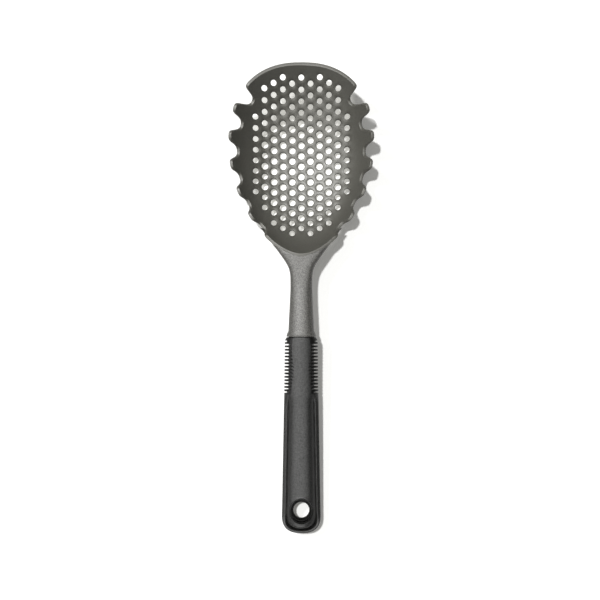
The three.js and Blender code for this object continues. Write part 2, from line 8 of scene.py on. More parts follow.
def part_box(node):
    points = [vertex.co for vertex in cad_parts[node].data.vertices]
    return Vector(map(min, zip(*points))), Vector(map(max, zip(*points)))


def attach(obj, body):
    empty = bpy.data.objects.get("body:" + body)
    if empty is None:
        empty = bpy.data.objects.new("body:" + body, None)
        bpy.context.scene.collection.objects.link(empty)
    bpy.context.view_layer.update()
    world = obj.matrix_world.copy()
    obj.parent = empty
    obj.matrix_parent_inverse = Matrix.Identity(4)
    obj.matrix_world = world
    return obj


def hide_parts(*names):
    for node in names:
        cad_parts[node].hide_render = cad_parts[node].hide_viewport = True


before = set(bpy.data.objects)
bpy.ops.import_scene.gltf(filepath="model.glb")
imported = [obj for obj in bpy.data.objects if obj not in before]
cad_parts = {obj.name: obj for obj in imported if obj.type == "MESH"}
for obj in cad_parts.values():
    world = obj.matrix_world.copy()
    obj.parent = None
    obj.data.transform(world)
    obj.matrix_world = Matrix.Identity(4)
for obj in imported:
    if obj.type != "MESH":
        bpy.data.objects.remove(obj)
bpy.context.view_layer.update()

# Bowl
# A shallow oval shell of dark grey nylon, injection moulded in one with the neck behind it. Rounded notches
# leave teeth along both sides of its rim, the front lip stays plain, and drain holes go straight down
# through it in an even triangular lattice. Lengths are in millimetres.

WALL = 2.2
HALF_WIDTH, FRONT_REACH, REAR_REACH = 52.5, 61.3, 79.6
FRONT_SQUARENESS, REAR_SQUARENESS = 2.33, 1.73


def rim_share(x, v):
    """How far out a point lies, 1 on the rim's oval: the nth root of |x / half width|^n + |v / reach|^n,
    with the front's n and reach ahead of the widest station (v = 0) and the rear's behind it."""
    power = np.where(v > 0, FRONT_SQUARENESS, REAR_SQUARENESS)
    reach = np.where(v > 0, FRONT_REACH, REAR_REACH)
    return (np.abs(x / HALF_WIDTH) ** power + np.abs(v / reach) ** power) ** (1 / power)


LOW_POINT = -12.2
FRONT_RADIUS, REAR_RADIUS, CROSS_RADIUS = 93.0, 122.0, 223
WALL_RISE, RISE_REACH = 21.6, 115
UPTURN, UPTURN_RUN = 7, 45


def bowl_height(x, v):
    """Inner face over the floor: a parabola ahead of the low point, a flatter one behind it and a slow one
    across, a rise with the fourth power of the way out from there, and a last upturn of the rear wall with
    the 12th power of the rim's share."""
    along = v - LOW_POINT
    lengthwise = along ** 2 / np.where(along > 0, 2 * FRONT_RADIUS, 2 * REAR_RADIUS)
    walls = WALL_RISE * ((x / HALF_WIDTH) ** 2 + (along / RISE_REACH) ** 2) ** 2
    ramp = np.clip(-v / UPTURN_RUN, 0, 1)
    upturn = UPTURN * ramp ** 2 * (3 - 2 * ramp) * rim_share(x, v) ** 12
    return WALL + lengthwise + x ** 2 / (2 * CROSS_RADIUS) + walls + upturn


def bowl_normal(x, v, step=0.01):
    """Unit normal of the inner face, from the height's differences over a short step each way."""
    slope_x = (bowl_height(x + step, v) - bowl_height(x - step, v)) / (2 * step)
    slope_v = (bowl_height(x, v + step) - bowl_height(x, v - step)) / (2 * step)
    normal = np.stack([-slope_x, -slope_v, np.ones_like(slope_x)], -1)
    return normal / np.linalg.norm(normal, axis=-1, keepdims=True)


def run_along(path):
    """Length along a path of points up to each of them."""
    return np.concatenate([[0], np.cumsum(np.linalg.norm(np.diff(path, axis=0), axis=1))])


OVAL_STEPS = 6000
NOTCHES = 6
FIRST_NOTCH, NOTCH_PITCH = 54.08, 20.625  # along the rim, from the middle of the front lip
AHEAD_RUN, BEHIND_RUN = 9.63, 6.33
AHEAD_POWER, BEHIND_POWER, NOTCH_POWER = 3.2, 6.9, 3.3
LAST_DEPTH, EXTRA_DEPTH, DEPTH_POWER = 3.0, 6.03, 1.49
NOTCH_LEAN = 0.25
ROUNDING, ROUNDING_STEPS = 1.29, 6


def rim_outline(spacing):
    """Plan of the rim, anticlockwise: half the oval from the front lip to the rear, moved inwards at each
    notch by depth * (1 - |u|^n)^3.3, where u runs from -1 to 1 across the notch, with a long flank ahead of
    its middle and a short steep one behind, and forwards by a quarter of that; then evenly spaced, mirrored
    and rounded by a running mean weighted with a bell curve. The notches get less deep from the first to
    the last."""
    turn = np.linspace(0, np.pi, OVAL_STEPS + 1)
    front = np.cos(turn) > 0
    power = 2 / np.where(front, FRONT_SQUARENESS, REAR_SQUARENESS)
    reach = np.where(front, FRONT_REACH, -REAR_REACH)
    oval = np.stack([HALF_WIDTH * np.abs(np.sin(turn)) ** power, reach * np.abs(np.cos(turn)) ** power], -1)
    run = run_along(oval)
    ahead = np.gradient(oval, run, axis=0)
    ahead /= np.linalg.norm(ahead, axis=1, keepdims=True)
    place = np.arange(NOTCHES)[:, None]
    off = run - FIRST_NOTCH - NOTCH_PITCH * place
    across = np.minimum(np.where(off < 0, -off / AHEAD_RUN, off / BEHIND_RUN), 1)
    depth = LAST_DEPTH + EXTRA_DEPTH * (1 - place / (NOTCHES - 1)) ** DEPTH_POWER
    flank = 1 - across ** np.where(off < 0, AHEAD_POWER, BEHIND_POWER)
    inset = (depth * flank ** NOTCH_POWER).sum(axis=0)[:, None]
    right = oval + inset * np.stack([ahead[:, 1], -ahead[:, 0]], -1) - NOTCH_LEAN * inset * ahead
    run = run_along(right)
    steps = np.linspace(0, run[-1], round(run[-1] / spacing) + 1)
    right = np.stack([np.interp(steps, run, right[:, axis]) for axis in (0, 1)], -1)
    outline = np.concatenate([right, right[-2:0:-1] * [-1, 1]])[::-1]
    shifts = np.arange(-ROUNDING_STEPS, ROUNDING_STEPS + 1)
    weight = np.exp(-0.5 * (shifts * spacing / ROUNDING) ** 2)
    return sum(part * np.roll(outline, shift, axis=0) for shift, part in zip(shifts, weight / weight.sum()))


HOLE_PITCH = 8
LAST_COLUMN, LAST_ROW = 7, 12
FIELD_HALF_WIDTH, FIELD_REACH, FIELD_MIDDLE = 38.1, 60, -5.1
FIELD_FRONT_POWER, FIELD_REAR_POWER = 3, 2.2
LARGE_REACH, LARGE_MIDDLE, LARGE_COLUMNS = 38, -9.6, 3
LARGE_RADIUS, SMALL_RADIUS = 2.5, 2.1


def drain_holes():
    """Middles and radii of the drain holes: columns 6.93 mm apart, with holes 8 mm apart, each half a pitch
    out of step with the next, kept inside an oval field; those in the field's middle are larger."""
    columns, rows = np.arange(-LAST_COLUMN, LAST_COLUMN + 1), np.arange(-LAST_ROW, LAST_ROW + 1)
    column, row = [grid.ravel() for grid in np.meshgrid(columns, rows)]
    x = column * HOLE_PITCH * np.sqrt(3) / 2
    off = HOLE_PITCH * (row + np.where(column % 2 == 0, 0.25, -0.25))
    power = np.where(off > 0, FIELD_FRONT_POWER, FIELD_REAR_POWER)
    field = np.abs(x / FIELD_HALF_WIDTH) ** power + np.abs(off / FIELD_REACH) ** power <= 1
    middle = np.hypot(x / FIELD_HALF_WIDTH, (off - LARGE_MIDDLE) / LARGE_REACH) < 1
    every_other = (np.abs(column) == LARGE_COLUMNS + 1) & (np.abs(row) % 2 == 1)
    large = middle & ((np.abs(column) <= LARGE_COLUMNS) | every_other)
    return np.stack([x, off + FIELD_MIDDLE], -1)[field], np.where(large, LARGE_RADIUS, SMALL_RADIUS)[field]


def nearest(points, others):
    """Distance from each point to the nearest of the others."""
    return np.linalg.norm(points[:, None] - others[None], axis=-1).min(axis=1)


def eased_corner(before, corner, after, start, stop, count):
    """Points of a parabola that eases a corner, from one distance before it to another after it."""
    def towards(target, distance):
        way = target - corner
        return corner + distance * way / np.linalg.norm(way, axis=-1, keepdims=True)
    share = np.linspace(0, 1, count)[:, None, None]
    return ((1 - share) ** 2 * towards(before, start) + 2 * share * (1 - share) * corner
            + share ** 2 * towards(after, stop))


# The rim's edge, carried round it: the wall ends in a top that falls outwards, about 2 mm wide where the
# rim runs level and nearly nothing on the teeth's flanks, and in a short upright side, with eased corners.
RIM_SPACING = 0.7
LEAST_OVERHANG, FULL_OVERHANG = 0.15, 1.4
EDGE_HEIGHT, LEAST_HEIGHT = 0.8, 0.3
LEAST_STEP, MOST_STEP, LEAST_SLOPE = 0.1, 0.75, 0.3
FLANK_SHARE = 0.12
EDGE_RUN = 0.5
TOP_FALL = 0.35
CORNER_EASE = 0.3
TOP_INSIDE_EASE, TOP_OUTSIDE_EASE = 0.1, 0.75  # shares of the top's width
SIDE_HEAD_EASE, SIDE_FOOT_EASE = 0.7, 0.15  # shares of the side's height
rim = rim_outline(RIM_SPACING)
rim_points = np.column_stack([rim, bowl_height(*rim.T)])
rim_normal = bowl_normal(*rim.T)
rim_ahead = np.roll(rim_points, -1, axis=0) - np.roll(rim_points, 1, axis=0)
rim_out = np.cross(rim_ahead, rim_normal)
rim_out /= np.linalg.norm(rim_out[:, :2], axis=1, keepdims=True)
plan_out = np.column_stack([rim_ahead[:, 1], -rim_ahead[:, 0], np.zeros(len(rim))])
plan_out /= np.linalg.norm(plan_out, axis=1, keepdims=True)
wall_out = -WALL * (rim_normal * plan_out).sum(axis=1)
side_out = np.maximum(LEAST_OVERHANG, wall_out)[:, None]
step_in = (WALL * rim_normal[:, 2] - EDGE_HEIGHT) / np.maximum(rim_out[:, 2], LEAST_SLOPE)
step_in = np.clip(step_in, LEAST_STEP, MOST_STEP)[:, None]
step_in *= np.clip(wall_out / FULL_OVERHANG, FLANK_SHARE, 1)[:, None]
edge_start = rim_points - (step_in + EDGE_RUN) * rim_out
top_inside = rim_points - step_in * rim_out
top_outside = top_inside + (step_in + side_out) * plan_out
side_foot = rim_points - WALL * rim_normal + (side_out - wall_out[:, None]) * rim_out
most_fall = top_inside[:, 2] - side_foot[:, 2] - LEAST_HEIGHT
top_outside[:, 2] -= np.clip(TOP_FALL * (step_in + side_out)[:, 0], 0, most_fall)
top_width = np.linalg.norm(top_outside - top_inside, axis=1, keepdims=True)
side_height = np.linalg.norm(top_outside - side_foot, axis=1, keepdims=True)
edge_rings = np.concatenate([
    edge_start[None],
    eased_corner(edge_start, top_inside, top_outside, CORNER_EASE, TOP_INSIDE_EASE * top_width, 4),
    eased_corner(top_inside, top_outside, side_foot,
                 TOP_OUTSIDE_EASE * top_width, SIDE_HEAD_EASE * side_height, 8),
    eased_corner(top_outside, side_foot, side_foot - rim_out, SIDE_FOOT_EASE * side_height, CORNER_EASE, 4)])

# The inner face's plan: the rim, a second line inside it, a ring round each hole, the corners of the
# lattice's cells, and an even scatter over the plain border, triangulated between the rim and the rings.
HOLE_SIDES = 24
HOLE_EASE, HOLE_EASE_DEPTH, HOLE_EASE_STEPS = 0.5, 1.6, 5
SECOND_LINE, SECOND_LINE_CLEAR = 1.4, 1.0
SCATTER, SCATTER_ACROSS, SCATTER_ALONG = 2.6, (-56, 57), (-84, 66)
HOLE_CLEAR, RIM_CLEAR, LINE_CLEAR = 4.4, 0.9, 1.2
SAME_CELL, SAME_POINT, INSIDE_ONLY = 0.1, 1e-6, 1
hole_middle, hole_radius = drain_holes()
hole_turn = np.arange(HOLE_SIDES) * 2 * np.pi / HOLE_SIDES
hole_way = np.stack([np.cos(hole_turn), np.sin(hole_turn)], -1)
hole_rings = hole_middle[:, None] + (hole_radius + HOLE_EASE)[:, None, None] * hole_way
cell_turn = np.arange(6) * np.pi / 3
cell_way = HOLE_PITCH / np.sqrt(3) * np.stack([np.cos(cell_turn), np.sin(cell_turn)], -1)
cells = np.unique((hole_middle[:, None] + cell_way).reshape(-1, 2).round(3), axis=0)
cells = cells[np.concatenate([[True], np.linalg.norm(np.diff(cells, axis=0), axis=1) > SAME_CELL])]
inner_edge = edge_rings[0, :, :2]
second_line = (inner_edge - SECOND_LINE * plan_out[:, :2])[::2]
second_line = second_line[nearest(second_line, inner_edge) > SECOND_LINE_CLEAR]
scatter = np.meshgrid(np.arange(*SCATTER_ACROSS, SCATTER), np.arange(*SCATTER_ALONG, SCATTER))
scatter = np.stack(scatter, -1).reshape(-1, 2)
scatter[:, 0] += SCATTER / 2 * (np.round(scatter[:, 1] / SCATTER) % 2)
scatter = scatter[rim_share(*scatter.T) < 1]
loose = np.concatenate([second_line, scatter])
keep = (nearest(loose, hole_middle) > HOLE_CLEAR) & (nearest(loose, inner_edge) > RIM_CLEAR)
keep[len(second_line):] &= nearest(scatter, second_line) > LINE_CLEAR
loose = np.concatenate([cells[nearest(cells, inner_edge) > LINE_CLEAR], loose[keep]])
plan = np.concatenate([inner_edge, hole_rings.reshape(-1, 2), loose])
rim_count, ring_count = len(rim), hole_rings.shape[0] * HOLE_SIDES


def loop_edges(first, count):
    """Pairs of neighbours round a closed loop of points."""
    loop = first + np.arange(count)
    return np.stack([loop, np.roll(loop, -1)], -1)


hole_edges = [loop_edges(rim_count + HOLE_SIDES * i, HOLE_SIDES) for i in range(len(hole_middle))]
plan_edges = np.concatenate([loop_edges(0, rim_count), *hole_edges])
_, _, cut_faces, origins, _, _ = delaunay_2d_cdt(
    [Vector(point) for point in plan.tolist()], plan_edges.tolist(), [], INSIDE_ONLY, SAME_POINT)
first_of = np.array([origin[0] for origin in origins])
triangles = first_of[np.array(cut_faces)]
hole_of = np.full(len(plan), -1)
hole_of[rim_count:rim_count + ring_count] = np.repeat(np.arange(len(hole_middle)), HOLE_SIDES)
corners = hole_of[triangles]
in_hole = (corners[:, 0] >= 0) & (corners[:, 0] == corners[:, 1]) & (corners[:, 1] == corners[:, 2])
used, triangles = np.unique(triangles[~in_hole], return_inverse=True)
plan, triangles = plan[used], triangles.reshape(-1, 3)  # without the scatter that lies in the notches

# Both faces share that plan: the outer one lies a wall below, and its rings are as tight as the holes.
inner_face = np.column_stack([plan, bowl_height(*plan.T)])
inner_face[:rim_count] = edge_rings[0]
outer_plan = plan.copy()
outer_plan[rim_count:rim_count + ring_count] = (
    hole_middle[:, None] + hole_radius[:, None, None] * hole_way).reshape(-1, 2)
outer_z = bowl_height(*outer_plan.T) - WALL / bowl_normal(*outer_plan.T)[:, 2]
outer_face = np.column_stack([outer_plan, outer_z])
outer_face[:rim_count] = edge_rings[-1]

# A quarter of an ellipse eases each hole's mouth, 0.5 mm outwards and 1.6 mm down; the rest is straight.
ease = np.linspace(0, np.pi / 2, HOLE_EASE_STEPS + 1)[1:]
ease_radius = hole_radius[None, :] + HOLE_EASE * (1 - np.sin(ease))[:, None]
ease_plan = hole_middle[None, :, None] + ease_radius[..., None, None] * hole_way
ease_rings = np.concatenate([ease_plan, bowl_height(ease_plan[..., 0], ease_plan[..., 1])[..., None]], -1)
ease_rings[..., 2] -= HOLE_EASE_DEPTH * (1 - np.cos(ease))[:, None, None]


def between(upper, lower):
    """Quads between two closed loops of point numbers, the upper one first on a wall that faces outwards."""
    quads = np.stack([upper, lower, np.roll(lower, -1, axis=-1), np.roll(upper, -1, axis=-1)], -1)
    return quads.reshape(-1, 4)


def strips(uppers, lowers):
    """Quads between several pairs of such loops."""
    return [face for upper, lower in zip(uppers, lowers) for face in between(upper, lower).tolist()]


SHARP_ANGLE = np.radians(38)
MILLIMETRE, WELD, LEAST_EDGE = 0.001, 1e-6, 1e-7  # metres, as Blender's meshes are


def make_piece(name, points, faces, materials, finish=None):
    """A mesh object at the origin from points in millimetres, its coinciding points made one, shaded smooth
    but for edges past the sharp angle; finish gives each face's place in the list of materials."""
    mesh = bpy.data.meshes.new(name)
    mesh.from_pydata((np.asarray(points) * MILLIMETRE).tolist(), [], faces)
    if finish is not None:
        mesh.polygons.foreach_set("material_index", finish)
    welded = bmesh.new()
    welded.from_mesh(mesh)
    bmesh.ops.remove_doubles(welded, verts=welded.verts, dist=WELD)
    bmesh.ops.dissolve_degenerate(welded, edges=welded.edges, dist=LEAST_EDGE)
    welded.to_mesh(mesh)
    welded.free()
    for material in materials:
        mesh.materials.append(material)
    mesh.shade_smooth()
    mesh.set_sharp_from_angle(angle=SHARP_ANGLE)
    piece = bpy.data.objects.new(name, mesh)
    bpy.context.scene.collection.objects.link(piece)
    return piece


def linear(hex_code):
    """Linear RGBA of an sRGB hex colour."""
    srgb = np.array([int(hex_code[i:i + 2], 16) for i in (1, 3, 5)]) / 255
    rgb = np.where(srgb <= 0.04045, srgb / 12.92, ((srgb + 0.055) / 1.055) ** 2.4)
    return (*rgb.tolist(), 1.0)


def node(material, kind, inputs=None, **settings):
    """Adds a node with its settings; an input takes a value, or a link where it is given a socket."""
    made = material.node_tree.nodes.new(kind)
    for name, value in settings.items():
        setattr(made, name, value)
    for name, value in (inputs or {}).items():
        if isinstance(value, bpy.types.NodeSocket):
            material.node_tree.links.new(value, made.inputs[name])
        else:
            made.inputs[name].default_value = value
    return made


def new_material(name):
    """An empty node material."""
    material = bpy.data.materials.new(name)
    material.use_nodes = True
    material.node_tree.nodes.clear()
    return material


# Glass-filled nylon from a polished cavity, for the bowl's inside and rim: a satin dark grey with a fine
# even mottle and a broad soft highlight. The grain is about 0.2 mm on such nylon and is drawn at 1.1 mm so
# that it shows.
satin_nylon = new_material("satin_glass_filled_nylon")
place = node(satin_nylon, "ShaderNodeTexCoord").outputs["Object"]
grain = node(satin_nylon, "ShaderNodeTexNoise",
             {"Vector": place, "Scale": 1 / (1.1 * MILLIMETRE), "Detail": 3.0, "Roughness": 0.6})
flow = node(satin_nylon, "ShaderNodeTexNoise",
            {"Vector": place, "Scale": 1 / (22 * MILLIMETRE), "Detail": 2.0})
tone = node(satin_nylon, "ShaderNodeMix",
            {0: grain.outputs["Fac"], 6: linear("#43423d"), 7: linear("#52514b")}, data_type="RGBA")
gloss = node(satin_nylon, "ShaderNodeMapRange",
             {"Value": flow.outputs["Fac"], "From Min": 0.3, "From Max": 0.7,
              "To Min": 0.37, "To Max": 0.43})
bump = node(satin_nylon, "ShaderNodeBump",
            {"Height": grain.outputs["Fac"], "Strength": 0.25, "Distance": 0.04 * MILLIMETRE})
shader = node(satin_nylon, "ShaderNodeBsdfPrincipled",
              {"Base Color": tone.outputs[2], "Roughness": gloss.outputs[0], "Normal": bump.outputs[0],
               "IOR": 1.53, "Specular IOR Level": 0.36})
node(satin_nylon, "ShaderNodeOutputMaterial", {"Surface": shader.outputs[0]})

# The same nylon from a spark-eroded cavity, for the bowl's outside and the neck: a dry grey with a coarse
# sparkle of raised grains. The grains are about 0.3 mm and are drawn at 0.8 mm so that they show. The
# sparkle's mean also stands on the shader's own socket, for uses of the model that leave out the link.
grained_nylon = new_material("spark_eroded_nylon")
place = node(grained_nylon, "ShaderNodeTexCoord").outputs["Object"]
grain = node(grained_nylon, "ShaderNodeTexNoise",
             {"Vector": place, "Scale": 1 / (0.8 * MILLIMETRE), "Detail": 2.0, "Roughness": 0.7})
speck = node(grained_nylon, "ShaderNodeMapRange",
             {"Value": grain.outputs["Fac"], "From Min": 0.35, "From Max": 0.65})
tone = node(grained_nylon, "ShaderNodeMix",
            {0: speck.outputs[0], 6: linear("#282725"), 7: linear("#504f4b")}, data_type="RGBA")
sparkle = node(grained_nylon, "ShaderNodeMapRange",
               {"Value": speck.outputs[0], "To Min": 0.32, "To Max": 0.5})
bump = node(grained_nylon, "ShaderNodeBump",
            {"Height": grain.outputs["Fac"], "Strength": 0.7, "Distance": 0.14 * MILLIMETRE})
shader = node(grained_nylon, "ShaderNodeBsdfPrincipled",
              {"Base Color": tone.outputs[2], "Roughness": 0.48, "Normal": bump.outputs[0], "IOR": 1.53,
               "Specular IOR Level": sparkle.outputs[0]})
shader.inputs["Specular IOR Level"].default_value = 0.41
node(grained_nylon, "ShaderNodeOutputMaterial", {"Surface": shader.outputs[0]})

plan_count = len(plan)
edge_count = edge_rings[1:-1, :, 0].size
hole_loops = rim_count + np.arange(ring_count).reshape(-1, HOLE_SIDES)
ease_loops = 2 * plan_count + np.arange(ease_rings[..., 0].size).reshape(ease_rings.shape[:3])
edge_loops = 2 * plan_count + ease_loops.size + np.arange(edge_count).reshape(-1, rim_count)
hole_walls = [hole_loops, *ease_loops, hole_loops + plan_count]
edge_walls = [np.arange(rim_count), *edge_loops, np.arange(rim_count) + plan_count]
bowl_points = np.concatenate([inner_face, outer_face, ease_rings.reshape(-1, 3),
                              edge_rings[1:-1].reshape(-1, 3)])
front_y = 1000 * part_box("scoop_head")[1][1]
WIDEST_Y = front_y - FRONT_REACH + WALL * bowl_normal(np.array(0.0), np.array(FRONT_REACH))[1]
bowl_points[:, 1] += WIDEST_Y
inside = triangles.tolist() + strips(hole_walls[1:], hole_walls) + strips(edge_walls[:-3], edge_walls[1:])
outside = (triangles[:, ::-1] + plan_count).tolist() + strips(edge_walls[-3:], edge_walls[-2:])
bowl = make_piece("bowl", bowl_points, inside + outside, [satin_nylon, grained_nylon],
                  finish=np.repeat([0, 1], [len(inside), len(outside)]))
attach(bowl, "root")
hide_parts("scoop_head")

# Neck and tang
# The handle end of the same nylon moulding: it flares up to the bowl's rear rim, narrows to a waist and
# ends in a collar that the grip butts against. A flat tang with three windows runs on from the collar
# inside the handle.

REAR_RIM_Y = WIDEST_Y - REAR_REACH
COLLAR_Y = -28.0
REST_Y, REST_Z, LINE_RISE = -165.8, 9.4, 14.366


def handle_line(y):
    """Height of the handle's middle line: straight from the neck's root down to the grip's resting end."""
    return REST_Z + LINE_RISE * (y - REST_Y) / (REAR_RIM_Y - REST_Y)


def eased(value, low, high):
    """Smooth step from 0 at low to 1 at high, which may lie below low."""
    share = np.clip((value - low) / (high - low), 0, 1)
    return share ** 2 * (3 - 2 * share)


def soft_ramp(way, slope, soft):
    """A ramp that climbs past way = 0, its corner rounded: slope * soft * log(1 + exp(way / soft))."""
    return slope * soft * np.log1p(np.exp(way / soft))


def superellipse(turn, power):
    """Unit superellipse: cosine and sine, each to the power 2/n with its sign kept."""
    across, up = np.cos(turn), np.sin(turn)
    return np.sign(across) * np.abs(across) ** (2 / power), np.sign(up) * np.abs(up) ** (2 / power)


def carried(rings):
    """Points and faces of a closed body from a profile's rings along a path: quads between neighbouring
    rings, a ladder of quads across each end, and all faces turned over if the body's signed volume comes
    out negative."""
    steps, sides = rings.shape[:2]
    points = rings.reshape(-1, 3)
    loops = np.arange(steps * sides).reshape(steps, sides)
    rung = np.arange(sides // 2)
    ladder = np.stack([rung, rung + 1, sides - 1 - rung, (sides - rung) % sides], -1)
    quads = np.concatenate([between(loops[:-1], loops[1:]), loops[0][ladder][:, ::-1], loops[-1][ladder]])
    a, b, c, d = (points[quads[:, corner]] for corner in range(4))
    if (a * (np.cross(b, c) + np.cross(c, d))).sum() < 0:
        quads = quads[:, ::-1]
    return points, [[k for i, k in enumerate(quad) if k != quad[i - 1]] for quad in quads.tolist()]


def joined(*bodies):
    """Points and faces of several bodies as one mesh."""
    starts = np.cumsum([0] + [len(points) for points, _ in bodies])
    faces = [[k + start for k in face] for (_, body), start in zip(bodies, starts) for face in body]
    return np.concatenate([points for points, _ in bodies]), faces


WAIST_HALF_WIDTH, COLLAR_HALF_WIDTH = 8.1, 10.75
FLARE_Y, FLARE_SLOPE, FLARE_SOFT = 23.2, 0.74, 2.6
TAPER_Y, TAPER_SLOPE, TAPER_SOFT = 8, 0.05, 2
COLLAR_START, COLLAR_FULL, COLLAR_SWELL = -23.4, -26.4, 0.6
BEAD_START, BEAD_RISE, BEAD_ROUNDING, BEAD_DROP = -26.6, 0.5, -27.75, 0.6
BEAD_OUT, BEAD_UP = 0.35, 0.4
ROOT_RUN, ROOT_DROP = 19, 2.0
NECK_RISE, NECK_FALL, RISE_SWELL, FALL_SWELL = 5.6, 6.2, 2.3, 1.7
SWELL_START, SWELL_FULL = 13.5, -24
WAIST_POWER, EXTRA_POWER, SQUARE_START, SQUARE_FULL = 2.15, 1.45, 4, 32
SUNK_SHARE, SUNK_DEPTH = 1.06, 0.6


def neck_station(y, turn):
    """A point of the neck's skin: a superellipse about the edge line. Its half width is a waist plus a soft
    ramp towards the rim and a slow one towards the collar, which ends in a bead; rise and fall from the
    edge line grow towards the collar, and whatever lies inside the bowl's oval is kept down in the middle
    of the bowl's wall."""
    ramp = soft_ramp(y - FLARE_Y, FLARE_SLOPE, FLARE_SOFT) + soft_ramp(TAPER_Y - y, TAPER_SLOPE, TAPER_SOFT)
    collar = eased(y, COLLAR_START, COLLAR_FULL)
    bead = np.clip((BEAD_START - y) / BEAD_RISE, 0, 1) * (1 - BEAD_DROP * eased(y, BEAD_ROUNDING, COLLAR_Y))
    half = (WAIST_HALF_WIDTH + ramp) * (1 - collar) + COLLAR_HALF_WIDTH * collar + BEAD_OUT * bead
    root = np.clip((y - REAR_RIM_Y) / ROOT_RUN, 0, 1)
    edge_z = handle_line(np.minimum(y, REAR_RIM_Y)) - ROOT_DROP * root
    swell = eased(y, SWELL_START, SWELL_FULL)
    rise = NECK_RISE + RISE_SWELL * swell + COLLAR_SWELL * collar + BEAD_UP * bead
    fall = NECK_FALL + FALL_SWELL * swell + COLLAR_SWELL * collar + BEAD_UP * bead
    fall = fall + (WALL - fall) * root
    across, up = superellipse(turn, WAIST_POWER + EXTRA_POWER * eased(y, SQUARE_START, SQUARE_FULL))
    x, z = half * across, edge_z + up * np.where(up > 0, rise, fall)
    v = y - WIDEST_Y
    limit = bowl_height(x, v) - SUNK_DEPTH * WALL / bowl_normal(x, v)[..., 2]
    return np.stack([x, y, np.where(rim_share(x, v) < SUNK_SHARE, np.minimum(z, limit), z)], -1)


FIRST_SHARE, HALVINGS = 0.95, 40
SEARCH_FRONT_Y, SEARCH_REAR_Y = 53.5, 20.0
FLARE_STEPS, FLARE_END_Y = 60, 6.0
WAIST_STATIONS = np.arange(5.0, -22.8, -1.2)
COLLAR_STATIONS = np.linspace(-23.2, COLLAR_FULL, 9)
BEAD_STATIONS = np.linspace(-26.5, COLLAR_Y, 16)
SPIGOT_SHARE, SPIGOT_LENGTH = 0.88, 0.28


def neck_rings(turn):
    """Rings of the neck's skin from the bowl back to the collar. The first lies in the bowl's wall, where
    the oval's share is 0.95, found for each angle by halving; the next 60 run evenly from there to the
    waist. A short spigot behind the collar closes the joint with the grip."""
    ahead, behind = np.full(len(turn), SEARCH_FRONT_Y), np.full(len(turn), SEARCH_REAR_Y)
    for _ in range(HALVINGS):
        middle = (ahead + behind) / 2
        skin = neck_station(middle, turn)
        inside = rim_share(skin[:, 0], middle - WIDEST_Y) < FIRST_SHARE
        ahead, behind = np.where(inside, middle, ahead), np.where(inside, behind, middle)
    flare = behind + (FLARE_END_Y - behind) * np.linspace(0, 1, FLARE_STEPS + 1)[:, None]
    straight = np.concatenate([WAIST_STATIONS, COLLAR_STATIONS, BEAD_STATIONS])
    y = np.concatenate([flare, np.broadcast_to(straight[:, None], (len(straight), len(turn)))])
    rings = neck_station(y, np.broadcast_to(turn, y.shape))
    spigot = rings[[-1, -1]]
    spigot[..., 0] *= SPIGOT_SHARE
    spigot[..., 2] = handle_line(COLLAR_Y) + SPIGOT_SHARE * (spigot[..., 2] - handle_line(COLLAR_Y))
    spigot[1, :, 1] -= SPIGOT_LENGTH
    return np.concatenate([rings, spigot])


BLOCK_SIDES, BLOCK_STEPS, BLOCK_POWER = 16, 6, 9


def block(low, high):
    """A bar with eased edges between two corners, carried along the handle's line: low and high give x, y
    and the height over that line. Its section is a square-shouldered superellipse."""
    turn = np.pi / 4 + np.arange(BLOCK_SIDES) * 2 * np.pi / BLOCK_SIDES
    across, up = superellipse(turn, BLOCK_POWER)
    middle, half = (np.array(high) + low) / 2, (np.array(high) - low) / 2
    y = np.linspace(high[1], low[1], BLOCK_STEPS)
    x = np.broadcast_to(middle[0] + half[0] * across, (BLOCK_STEPS, BLOCK_SIDES))
    z = handle_line(y)[:, None] + middle[2] + half[2] * up[None]
    return carried(np.stack([x, np.broadcast_to(y[:, None], x.shape), z], -1))


NECK_SIDES = 120
TANG_START_Y, TANG_END_Y, TANG_HALF_HEIGHT = -26.5, -140, 2.3
RAIL_X, RAIL_HALF_WIDTH, BRIDGE_HALF_WIDTH = 4.05, 1.45, 4.0
BRIDGES = ((-49.5, TANG_START_Y), (-79.5, -58.5), (-109.5, -88.5), (TANG_END_Y, -118.5))
neck_turn = np.arange(NECK_SIDES) * 2 * np.pi / NECK_SIDES
rails = [block((side - RAIL_HALF_WIDTH, TANG_END_Y, -TANG_HALF_HEIGHT),
               (side + RAIL_HALF_WIDTH, TANG_START_Y, TANG_HALF_HEIGHT)) for side in (-RAIL_X, RAIL_X)]
bridges = [block((-BRIDGE_HALF_WIDTH, low, -TANG_HALF_HEIGHT), (BRIDGE_HALF_WIDTH, high, TANG_HALF_HEIGHT))
           for low, high in BRIDGES]
neck_bodies = joined(carried(neck_rings(neck_turn)), *rails, *bridges)
neck = make_piece("neck_and_tang", *neck_bodies, [grained_nylon])
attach(neck, "root")
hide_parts("scoop_head")

# Handle core and hanging eye
# The hard polypropylene core that is moulded round the tang, with posts through the tang's windows.
# Its far end is the hanging eye, whose bored ring shows at the bottom of the grip's dished hole.

GRIP_TOP_Y, GRIP_END_Y = -28.3, -176.0
EYE_Y = GRIP_END_Y + 17.3
EYE_Z = handle_line(EYE_Y)
CORE_SIDES = 64
CORE_HALF_WIDTH, CORE_HALF_HEIGHT, CORE_POWER = 8, 5.6, 3
POCKET_HALF_WIDTH, POCKET_HALF_HEIGHT, POCKET_POWER = 5.8, 2.6, 9
POCKET_END_Y, SLEEVE_END_Y = -140.3, -141.3
core_turn = np.arange(CORE_SIDES) * 2 * np.pi / CORE_SIDES


